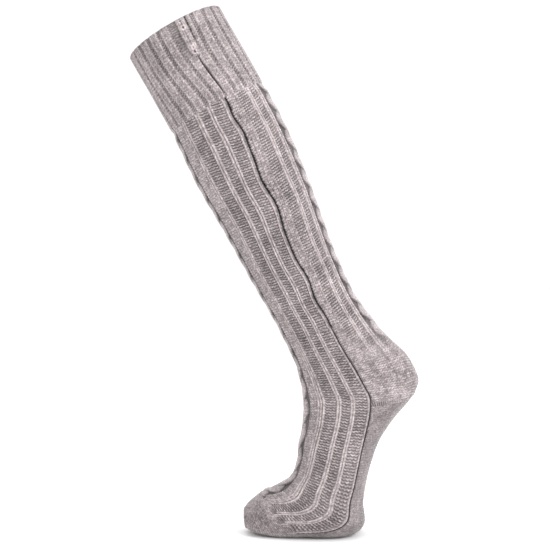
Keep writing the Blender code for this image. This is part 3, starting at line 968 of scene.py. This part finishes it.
@dataclass
class Cuff:
    """The ribbed welt, knitted double and turned at the rim, with the slit through its outer side."""

    form: SockForm
    cells_per_rib: int = 20
    row_spacing: float = 0.68 * MM
    lip: float = 0.014
    slit_cells: int = 4
    pull: float = 6.2 * MM

    def ribs(self, turn: np.ndarray, down: np.ndarray) -> np.ndarray:
        """Rib phase, with a valley at whole numbers. Lower down the ribs gather at the slit.

        Args:
            turn: Turns round the sock.
            down: Distances below the rim.

        Returns:
            The phase at each corner.
        """
        sizes = self.form.sizes
        apart = (turn - sizes.slit_turn + 0.5) % 1.0 - 0.5
        gather = 0.25 + 0.75 * ease(down, 0.2 * sizes.cuff_height, sizes.cuff_height)
        distance = np.abs(apart) * sizes.girth
        reach = distance / (24.0 * MM) * np.exp(1.0 - distance / (24.0 * MM))
        share = np.where(apart < 0.0, 1.0, 0.35)
        return (apart + np.sign(apart) * self.pull * share * gather * reach / sizes.girth) * sizes.rib_count

    def beside_strip(self, turn: np.ndarray, down: np.ndarray) -> tuple[np.ndarray, np.ndarray]:
        """Where the rib before the strip sinks away, and the groove behind the strip, both from 0 to 1.

        Args:
            turn: Turns round the sock.
            down: Distances below the rim.

        Returns:
            The sinking and the groove.
        """
        sizes = self.form.sizes
        across = ((turn - sizes.slit_turn + 0.5) % 1.0 - 0.5) * sizes.girth
        before = ease(across, -11.5 * MM, -10.0 * MM) * (1.0 - ease(across, -5.0 * MM, -3.5 * MM))
        before *= 1.0 - ease(down, 0.70 * sizes.strip_length, 1.15 * sizes.strip_length)
        groove = np.exp(-(((across - 5.4 * MM) / (0.9 * MM)) ** 2))
        groove *= 1.0 - ease(down, 0.60 * sizes.strip_length, 0.95 * sizes.strip_length)
        return before, groove

    def relief(self, turn: np.ndarray, down: np.ndarray, course: np.ndarray) -> Relief:
        """Ribs of plain wales with purl valleys between.

        Args:
            turn: Turns round the sock.
            down: Distances below the rim.
            course: Courses at each corner.

        Returns:
            Height, and tones with painted shade and highlights, at each corner.
        """
        phase = self.ribs(turn, down)
        place = phase - np.floor(phase)
        before, groove = self.beside_strip(turn, down)
        body = ease(place, 0.08, 0.24) * (1.0 - ease(place, 0.76, 0.92)) * (1.0 - 0.85 * before)
        knit = Knitting.plain(np.clip((place - 0.14) / 0.72, 0.0, 1.0) * 3.0, course)
        # Bright lines along the rib edges: raised a little, and a painted highlight.
        edge = np.exp(-(((np.abs(place - 0.5) - 0.26) / 0.06) ** 2))
        purl = Knitting.ladder(place + 0.5, course, 1.0)
        ribs = Relief(0.15 + 0.55 * knit.height + 0.20 * edge, 0.16 + 0.66 * knit.tone + 0.26 * edge)
        # Painted shade in the purl valleys and in the groove behind the strip.
        valleys = Relief(0.45 * purl.height - 1.05, 0.10 + 0.62 * purl.tone)
        return valleys.toward(ribs, body).lifted(-1.3 * groove, -0.6 * groove)

    def build(self, finish: bpy.types.Material) -> bpy.types.Object:
        """Builds the welt and dresses it.

        Args:
            finish: The wool's material.

        Returns:
            The piece.
        """
        sizes = self.form.sizes
        columns = sizes.rib_count * self.cells_per_rib
        first = sizes.slit_turn - 0.5 * self.slit_cells / columns
        turn = first + np.arange(columns + 1) / columns
        radius = 0.5 * sizes.cuff_wall
        straight = sizes.cuff_height - radius
        outer_rows = round(straight / self.row_spacing / COARSE) * COARSE
        rim_rows = 3 * COARSE
        lip_rows = round(self.lip / self.row_spacing / COARSE) * COARSE
        angle = np.linspace(0.0, math.pi, rim_rows + 1)[1:]
        down = np.concatenate(
            [
                sizes.cuff_height - np.linspace(0.0, 1.0, outer_rows + 1) * straight,
                radius - radius * np.sin(angle),
                radius + np.linspace(0.0, self.lip, lip_rows + 1)[1:],
            ]
        )
        level = np.concatenate(
            [np.zeros(outer_rows + 1), radius * np.cos(angle) - radius, np.full(lip_rows, -2.0 * radius)]
        )
        step = np.hypot(np.diff(down), np.diff(level))
        at_turn = np.broadcast_to(turn[None, :], (len(down), len(turn)))
        at_down = np.broadcast_to(down[:, None], at_turn.shape)
        closing = list(range(columns)) + [0]
        noise = soft_noise(len(down), columns, (22, 20), 5)[:, closing]
        wander = soft_noise(len(down), columns, (30, 14), 6)[:, closing]
        course = (np.concatenate([[0.0], np.cumsum(step)]) / sizes.course)[:, None] + 0.35 * wander
        relief = self.relief(at_turn, at_down, course).lifted(0.25 * noise, 0.10 * noise)
        flat = Relief(np.full(relief.height.shape, -0.7), relief.tone)
        gather = ease(at_down, sizes.cuff_height - 5.0 * MM, sizes.cuff_height)
        relief = relief.toward(flat, np.where(level[:, None] < 0.0, 0.0, gather))
        faces_in = ease(-level, 0.0, 2.0 * radius)[:, None]
        offset = level[:, None] + relief.height * MM * (1.0 - 1.5 * faces_in)
        slit_rows = self._slit_rows(down, outer_rows)
        at_turn = self._lean(self._open_slit(at_turn, down, slit_rows), at_down)
        outer = self.form.fabric(at_turn, at_down / sizes.cuff_height, offset)
        fabric = Fabric("cuff_knit")
        front = fabric.grid(Sheet(outer, relief.tone), True)
        lining_down = np.linspace(radius + self.lip, sizes.cuff_height, (outer_rows - lip_rows) // COARSE + 1)
        lining_turn = np.broadcast_to(turn[None, ::COARSE], (len(lining_down), columns // COARSE + 1))
        lining_at = np.broadcast_to(lining_down[:, None], lining_turn.shape)
        lining_turn = self._lean(lining_turn, lining_at)
        lining = self.form.fabric(lining_turn, lining_at / sizes.cuff_height, np.array(-sizes.cuff_wall))
        back = fabric.grid(Sheet(lining, np.array(LINING_TONE)), True)
        fabric.join(front[-1], back[0])
        fabric.join(front[0], back[-1])
        self._cut_slit(fabric, front, back, slit_rows, down, lining_down)
        return fabric.finish(finish, "rib_knit", ["cuff"])

    def _lean(self, turn: np.ndarray, down: np.ndarray) -> np.ndarray:
        """Lets the columns near the slit lean with it."""
        sizes = self.form.sizes
        apart = (turn - sizes.slit_turn + 0.5) % 1.0 - 0.5
        near = np.exp(-((apart * sizes.girth / (55.0 * MM)) ** 2))
        return turn + (self.form.slit_turn(down) - sizes.slit_turn) * near

    def _slit_rows(self, down: np.ndarray, outer_rows: int) -> tuple[int, int]:
        """First and last outer row of the slit, counted from the lower edge in whole coarse cells."""
        sizes = self.form.sizes
        spacing = (down[0] - down[outer_rows]) / outer_rows
        low = math.ceil(sizes.slit_to_edge / spacing / COARSE) * COARSE
        high = math.floor((sizes.cuff_height - sizes.strip_length) / spacing / COARSE) * COARSE
        return low, high

    def _open_slit(self, turn: np.ndarray, down: np.ndarray, slit_rows: tuple[int, int]) -> np.ndarray:
        """Draws the slit's edges together towards its ends, and the columns beside it with them.

        Args:
            turn: Turns round the sock.
            down: Distances below the rim.
            slit_rows: The slit's first and last row.

        Returns:
            The shifted turns.
        """
        low, high = slit_rows
        columns = turn.shape[1] - 1
        row = np.arange(len(down))
        inside = np.clip((row - low) / (high - low), 0.0, 1.0)
        wide = 0.10 + 0.55 * np.sin(math.pi * inside) ** 0.6
        middle = self.form.sizes.slit_turn
        apart = (turn - middle + 0.5) % 1.0 - 0.5
        half = 0.5 * self.slit_cells / columns
        beyond = (np.abs(apart) - half) / (3.0 * half)
        near = np.where(np.abs(apart) <= half * 1.001, 1.0, np.exp(-(beyond**2)))
        used = ((row >= low) & (row <= high))[:, None]
        squeezed = np.sign(apart) * np.minimum(np.abs(apart), half) * (wide[:, None] - 1.0)
        return turn + np.where(used, squeezed * near, 0.0)

    def _cut_slit(
        self,
        fabric: Fabric,
        front: list[list[bmesh.types.BMVert]],
        back: list[list[bmesh.types.BMVert]],
        slit_rows: tuple[int, int],
        down: np.ndarray,
        lining_down: np.ndarray,
    ) -> None:
        """Cuts the slit through both faces of the welt and closes its sides.

        Args:
            fabric: The welt's mesh.
            front: Corners of the outer grid, from the lower edge.
            back: Corners of the lining, down to the lower edge.
            slit_rows: First and last outer row of the slit.
            down: Distance of each outer row below the rim.
            lining_down: Distance of each lining row below the rim.
        """
        low, high = slit_rows
        inner_low = int(np.argmin(np.abs(lining_down - down[low])))
        inner_high = inner_low - (high - low) // COARSE
        cells = self.slit_cells
        outer_edge = [front[row][column] for row in range(low, high + 1) for column in range(cells + 1)]
        inner_edge = [back[row][column] for row in range(inner_high, inner_low + 1) for column in (0, 1)]
        for corners in (set(outer_edge), set(inner_edge)):
            faces = {face for vert in corners for face in vert.link_faces if corners.issuperset(face.verts)}
            bmesh.ops.delete(fabric.bm, geom=list(faces), context="FACES")
        rows = range(low, high + 1)
        inner_rows = range(inner_low, inner_high - 1, -1)
        fabric.join([front[row][0] for row in rows], [back[row][0] for row in inner_rows])
        fabric.join([front[row][cells] for row in rows][::-1], [back[row][1] for row in inner_rows][::-1])
        fabric.join(front[low][cells::-1], [back[inner_low][1], back[inner_low][0]])
        fabric.join(front[high][: cells + 1], [back[inner_high][0], back[inner_high][1]])
        loose = [vert for vert in fabric.bm.verts if not vert.link_faces]
        bmesh.ops.delete(fabric.bm, geom=loose, context="VERTS")


class Knot(NamedTuple):
    """A knot on the strip: its distance below the rim, place across from -1 to 1, radius and height."""

    down: float
    across: float
    radius: float
    height: float
    ring: bool


@dataclass
class CuffStrip:
    """The narrow raised strip from the rim down to the slit, knitted in loose bobbly stitches."""

    form: SockForm
    width: float = 9.2 * MM
    columns: int = 28
    rows: int = 116
    stitch: float = 8.6 * MM
    knots: tuple[Knot, ...] = (
        Knot(6.0 * MM, -0.10, 2.1 * MM, 0.5, True),
        Knot(14.5 * MM, 0.00, 2.6 * MM, 0.8, True),
        Knot(33.0 * MM, 0.15, 2.4 * MM, 1.5, False),
        Knot(38.0 * MM, -0.15, 2.7 * MM, 0.9, True),
    )

    def build(self, finish: bpy.types.Material) -> bpy.types.Object:
        """Builds the strip and dresses it.

        Args:
            finish: The wool's material.

        Returns:
            The piece.
        """
        sizes = self.form.sizes
        side = np.linspace(-1.0, 1.0, self.columns + 1)[None, :]
        down = np.linspace(0.6 * MM, sizes.strip_length + 0.5 * MM, self.rows + 1)[:, None]
        narrowing = 1.0 - 0.45 * ease(down, sizes.strip_length - 6.0 * MM, sizes.strip_length + 1.0 * MM)
        half = 0.5 * self.width / sizes.girth * narrowing
        turn = self.form.slit_turn(down) + half * side
        stitches = 0.55 + 0.45 * bump(down / self.stitch + 0.30 * np.abs(side))
        loops = dome(2.0 * np.abs(side) - 1.0) * stitches
        course = Knitting.plain(1.5 + side, down / sizes.course)
        height = -0.5 + 1.3 * dome(side * 0.98) + 0.9 * loops + 0.35 * course.height
        # Painted shade between the loops and painted highlight on them.
        tone = 0.10 + 0.50 * loops + 0.35 * course.tone
        for knot in self.knots:
            away = np.hypot(down - knot.down, (side - knot.across) * 0.5 * self.width) / knot.radius
            ridge = np.exp(-(((away - 0.75) / 0.35) ** 2)) if knot.ring else np.exp(-(away**2))
            height = height + knot.height * ridge
            # Painted highlight on each knot and painted shade in the hole of each ring.
            tone = tone + (0.55 * ridge - (0.6 * np.exp(-((away / 0.45) ** 2)) if knot.ring else 0.0))
        over_rim = ease(-down, -3.0 * MM, 0.0)
        at = down / sizes.cuff_height * np.ones_like(side)
        outer = self.form.fabric(turn, at, (height - 2.4 * over_rim) * MM)
        inner = self.form.fabric(turn, at, np.full(turn.shape, -1.9 * MM) - 1.0 * MM * over_rim)
        fabric = Fabric("cuff_strip_knit")
        fabric.panel(Sheet(outer, np.clip(tone, 0.0, 1.2)), Sheet(inner, np.array(0.2)))
        return fabric.finish(finish, "rib_knit", ["cuff_strip"])


@dataclass
class ToeCap:
    """The plain toe cap, closed by a rounded end. The instep's ribs run out on its first rows."""

    form: SockForm
    chart: Sequence[Column]
    columns: int = 264
    row_spacing: float = 0.72 * MM
    wales: int = 66
    cap_rows: int = 16
    cap_rise: float = 1.8 * MM
    ribs_run: float = 13.0 * MM

    def sheet(self, step: int, stitched: bool) -> Sheet:
        """Sheet of the cap with every step-th row and column.

        Args:
            step: Rows and columns to skip between those kept.
            stitched: Whether it is the knitted face, and not the lining.

        Returns:
            The sheet, whose last row is one point.
        """
        sizes = self.form.sizes
        v, along = self.form.rows_between(TOE_START, TOE_END, 0.5, self.row_spacing)
        shares = np.abs(np.linspace(-1.0, 1.0, self.columns + 1))
        near = self.form.turns_between(v, np.zeros_like(v), np.full_like(v, 0.5), shares)
        first_half = np.arange(self.columns + 1) < self.columns // 2
        turn = np.where(first_half[None, :], 1.0 - near, near)
        rows = v[:, None] * np.ones_like(turn)
        if stitched:
            relief = self.relief(v, along, near, first_half)
        else:
            relief = Relief(np.full(turn.shape, -sizes.wall / MM), np.full(turn.shape, LINING_TONE))
        points = self.form.fabric(turn, rows, relief.height * MM)
        closing = np.linspace(0.0, 1.0, self.cap_rows + 1)[1:]
        edge = points[-1]
        middle = edge.mean(axis=0)
        shrink = np.sqrt(1.0 - closing**2)[:, None, None]
        rise = np.array([-self.cap_rise, 0.0, 0.0]) * closing[:, None, None]
        cap = middle + (edge - middle)[None] * shrink + rise
        points = np.concatenate([points, cap])
        tone = np.concatenate([relief.tone, np.repeat(relief.tone[-1:], self.cap_rows, axis=0)])
        return Sheet(points[::step, ::step], tone[::step, ::step])

    def relief(self, v: np.ndarray, along: np.ndarray, near: np.ndarray, first_half: np.ndarray) -> Relief:
        """Plain stitches, with the ends of the instep's ribs over the toes.

        Args:
            v: Places along the sock.
            along: Lengths along the cap.
            near: Turns of the side towards -Y.
            first_half: Which columns lie on the +Y side.

        Returns:
            Height, and tones with painted shade and highlights, at each corner.
        """
        sizes = self.form.sizes
        closing = list(range(self.columns)) + [0]
        noise = soft_noise(len(v), self.columns, (16, 16), 23)[:, closing]
        wander = soft_noise(len(v), self.columns, (24, 12), 24)[:, closing]
        course = (along / sizes.course)[:, None] + 0.35 * wander
        plain = Knitting.plain(np.linspace(0.0, self.wales, self.columns + 1)[None, :], course)
        # Stronger painted shade and highlights of the plain stitches, round their mean.
        plain = Relief(plain.height, 0.5 + 1.25 * (plain.tone - plain.tone.mean()))
        seam = self.form.turns_between(v, np.zeros_like(v), self.form.seam_turn(v), np.array([0.5, 1.0]))
        side = near / seam[:, 1:2]
        ribs = Knitting.chart(self.chart, np.where(first_half[None, :], -side, side), course, course / 8.0)
        run = 1.0 - ease(along, 0.25 * self.ribs_run, self.ribs_run)[:, None]
        relief = plain.toward(ribs, np.where(side < 1.0, run, 0.0))
        return relief.lifted(0.20 * noise, 0.12 * noise)

    def build(self, finish: bpy.types.Material) -> bpy.types.Object:
        """Builds the cap and dresses it.

        Args:
            finish: The wool's material.

        Returns:
            The piece.
        """
        fabric = Fabric("toe_knit")
        front = fabric.grid(self.sheet(1, True), True)
        back = fabric.grid(self.sheet(COARSE, False), True)
        fabric.join(front[0], back[0])
        for line in (front[-1], back[-1]):
            bmesh.ops.pointmerge(fabric.bm, verts=line[:-1], merge_co=line[0].co)
        return fabric.finish(finish, "plain_knit", ["toe"])


@dataclass
class Studio:
    """White studio with a level camera, as in the photograph."""

    form: SockForm
    distance: float = 1.16
    aim: tuple[float, float] = (0.0955, -0.2304)
    lens: float = 79.9
    lamps: list[tuple[str, tuple[float, float, float], float, float]] = field(
        default_factory=lambda: [
            ("key", (1.35, -1.20, 0.55), 1.1, 26.0),
            ("fill", (-1.20, -1.30, 0.40), 1.6, 7.0),
            ("top", (0.10, 0.30, 1.60), 1.4, 14.0),
        ]
    )

    def build(self) -> None:
        """Builds the ground, the lamps, the world and the camera."""
        self._ground()
        for name, place, size, power in self.lamps:
            self._lamp(name, Vector(place), size, power)
        world = bpy.data.worlds.new("studio")
        world.use_nodes = True
        background = world.node_tree.nodes["Background"]
        background.inputs["Color"].default_value = (1.0, 1.0, 1.0, 1.0)
        background.inputs["Strength"].default_value = 1.06
        bpy.context.scene.world = world
        bpy.context.scene.view_settings.view_transform = "Standard"
        data = bpy.data.cameras.new("camera")
        data.lens = self.lens
        camera = bpy.data.objects.new("camera", data)
        camera.location = (self.aim[0], -self.distance, self.aim[1])
        camera.rotation_euler = (math.pi / 2.0, 0.0, 0.0)
        bpy.context.scene.collection.objects.link(camera)
        bpy.context.scene.camera = camera

    def _ground(self) -> None:
        """White ground just under the toes."""
        bm = bmesh.new()
        bmesh.ops.create_grid(bm, x_segments=1, y_segments=1, size=30.0)
        bmesh.ops.translate(bm, verts=bm.verts, vec=(0.0, 0.0, self.form.sizes.ground - 0.2 * MM))
        mesh = bpy.data.meshes.new("ground")
        bm.to_mesh(mesh)
        bm.free()
        shading = Shading("ground")
        surface = shading.node(
            "ShaderNodeBsdfPrincipled", inputs={"Base Color": (0.97, 0.97, 0.97, 1.0), "Roughness": 0.9}
        )
        output = shading.node("ShaderNodeOutputMaterial")
        shading.tree.links.new(surface.outputs[0], output.inputs["Surface"])
        mesh.materials.append(shading.material)
        ground = bpy.data.objects.new("ground", mesh)
        bpy.context.scene.collection.objects.link(ground)

    def _lamp(self, name: str, place: Vector, size: float, power: float) -> None:
        """Square lamp aimed at the middle of the sock.

        Args:
            name: The lamp's name.
            place: Where it hangs.
            size: Its side's length.
            power: Its power in watts.
        """
        data = bpy.data.lights.new(name, "AREA")
        data.size = size
        data.energy = power
        lamp = bpy.data.objects.new(name, data)
        lamp.location = place
        target = Vector((self.aim[0], 0.0, self.aim[1]))
        lamp.rotation_euler = (target - place).to_track_quat("-Z", "Y").to_euler()
        bpy.context.scene.collection.objects.link(lamp)


def main() -> None:
    """Builds the sock's pieces in order, then the studio round them."""
    logging.basicConfig(level=logging.INFO, format="%(name)s: %(message)s")
    form = SockForm(Sizes())
    cable_wool = Wool("cable_wool").material()
    rib_wool = Wool("rib_wool").material()
    plain_wool = Wool("plain_wool").material()
    pieces = [
        Cuff(form).build(rib_wool),
        CuffStrip(form).build(rib_wool),
        ChartPanel(
            form, "leg_front", "leg", FRONT_CHART, CUFF_END, LEG_END, wave=1.5 * MM, fade_in=9.0 * MM
        ).build(cable_wool),
        ChartPanel(
            form,
            "leg_back",
            "leg",
            BACK_CHART,
            CUFF_END,
            LEG_END,
            at_back=True,
            columns=208,
            wave=1.5 * MM,
            fade_in=9.0 * MM,
            groove_depth=0.8,
            seed=4,
        ).build(cable_wool),
        ChartPanel(
            form, "instep_knit", "instep", INSTEP_CHART, LEG_END, TOE_START, columns=256, seed=6
        ).build(cable_wool),
        PlainPanel(
            form, "heel", LEG_END, HEEL_END, 176, 0.66 * MM, 42, 1.0, ribs_fade=0.45, dashes=4.0 * MM
        ).build(plain_wool),
        PlainPanel(form, "sole", HEEL_END, TOE_START, 160, 0.74 * MM, 40, 0.55, seed=12).build(plain_wool),
        ToeCap(form, INSTEP_CHART).build(plain_wool),
    ]
    Studio(form).build()
    LOG.info("%d pieces", len(pieces))


if __name__ == "__main__":
    main()
